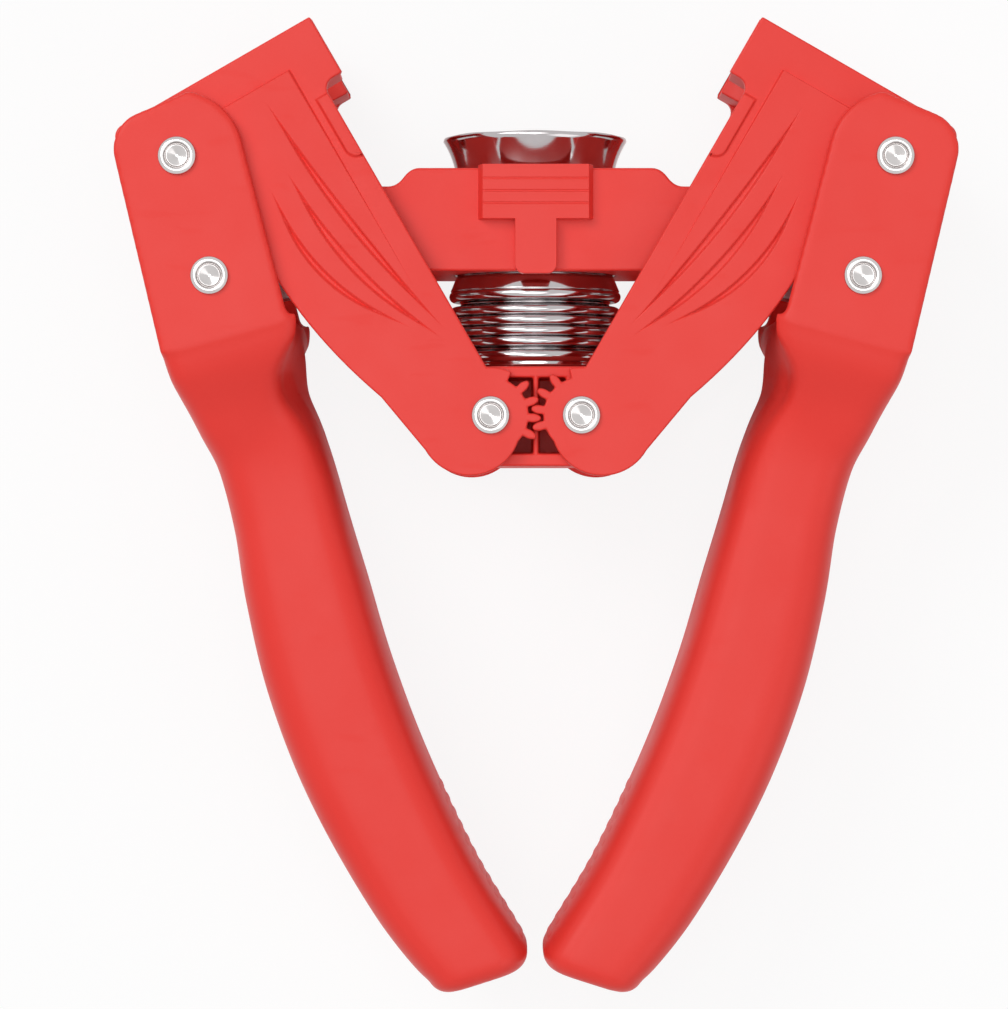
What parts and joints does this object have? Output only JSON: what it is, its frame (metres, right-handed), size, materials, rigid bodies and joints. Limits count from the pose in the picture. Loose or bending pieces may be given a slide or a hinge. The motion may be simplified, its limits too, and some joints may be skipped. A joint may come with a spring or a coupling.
{
  "type": "crown cap bottle capper",
  "caption": "Twin-lever hand capper: geared jaw arms grip the bottle neck while links drive a sliding chromed bell that crimps the crown cap.",
  "frame": {"origin": "middle of the crown seat, at the inner end of the bell's throat, on the bell's axis and in the tool's middle plane", "axes": "+Y along the bell axis out of its mouth, +Z square to the flat tool towards its front face, +X to the right seen from the front"},
  "size_m": [0.1868, 0.217, 0.0686],
  "materials": {
    "red_plastic": "satin moulded red plastic",
    "rivet_steel": "bright zinc plated steel",
    "bell_chrome": "turned and chrome plated steel",
    "link_steel": "pressed zinc plated steel",
    "magnet": "dark coated magnet"
  },
  "bodies": {
    "hub": {"hub_block": "red_plastic", "guide_post": "rivet_steel", "left_hub_rivet": "rivet_steel", "right_hub_rivet": "rivet_steel"},
    "left_arm": {"left_arm": "red_plastic", "left_lever_rivet": "rivet_steel"},
    "right_arm": {"right_arm": "red_plastic", "right_lever_rivet": "rivet_steel"},
    "left_lever": {"left_lever": "red_plastic", "left_link_rivet": "rivet_steel"},
    "right_lever": {"right_lever": "red_plastic", "right_link_rivet": "rivet_steel"},
    "left_link": {"left_link": "link_steel"},
    "right_link": {"right_link": "link_steel"},
    "carriage": {"bell_carriage": "red_plastic", "bell": "bell_chrome", "ribbed_sleeve": "bell_chrome", "cap_magnet": "magnet", "front_bell_clip": "red_plastic", "rear_bell_clip": "red_plastic", "left_carriage_pin": "rivet_steel", "right_carriage_pin": "rivet_steel"}
  },
  "joints": [
    {"name": "left_arm_swing", "type": "hinge", "parent": "hub", "child": "left_arm", "pos_m": [-0.01, -0.0515, 0], "axis": [0, 0, -1], "range_deg": [0, 30]},
    {"name": "right_arm_swing", "type": "hinge", "parent": "hub", "child": "right_arm", "pos_m": [0.01, -0.0515, 0], "axis": [0, 0, 1], "range_deg": [0, 30]},
    {"name": "left_lever_swing", "type": "hinge", "parent": "left_arm", "child": "left_lever", "pos_m": [-0.07863, 0.00518, 0], "axis": [0, 0, -1], "range_deg": [0, 45]},
    {"name": "right_lever_swing", "type": "hinge", "parent": "right_arm", "child": "right_lever", "pos_m": [0.07863, 0.00518, 0], "axis": [0, 0, 1], "range_deg": [0, 45]},
    {"name": "carriage_slide", "type": "slide", "parent": "hub", "child": "carriage", "axis": [0, 1, 0], "range_m": [0, 0.012]},
    {"name": "left_link_swing", "type": "hinge", "parent": "carriage", "child": "left_link", "pos_m": [-0.0375, -0.0155, 0], "axis": [0, 0, -1], "range_deg": [0, 48]},
    {"name": "right_link_swing", "type": "hinge", "parent": "carriage", "child": "right_link", "pos_m": [0.0375, -0.0155, 0], "axis": [0, 0, 1], "range_deg": [0, 48]}
  ],
  "couplings": [
    {"joint": "right_arm_swing", "follows": "left_arm_swing", "ratio": 1},
    {"joint": "left_lever_swing", "follows": "left_arm_swing", "ratio": 1.5},
    {"joint": "right_lever_swing", "follows": "left_arm_swing", "ratio": 1.5},
    {"joint": "carriage_slide", "follows": "left_arm_swing", "m_per_rad": 0.022918},
    {"joint": "left_link_swing", "follows": "left_arm_swing", "ratio": 1.6},
    {"joint": "right_link_swing", "follows": "left_arm_swing", "ratio": 1.6}
  ]
}
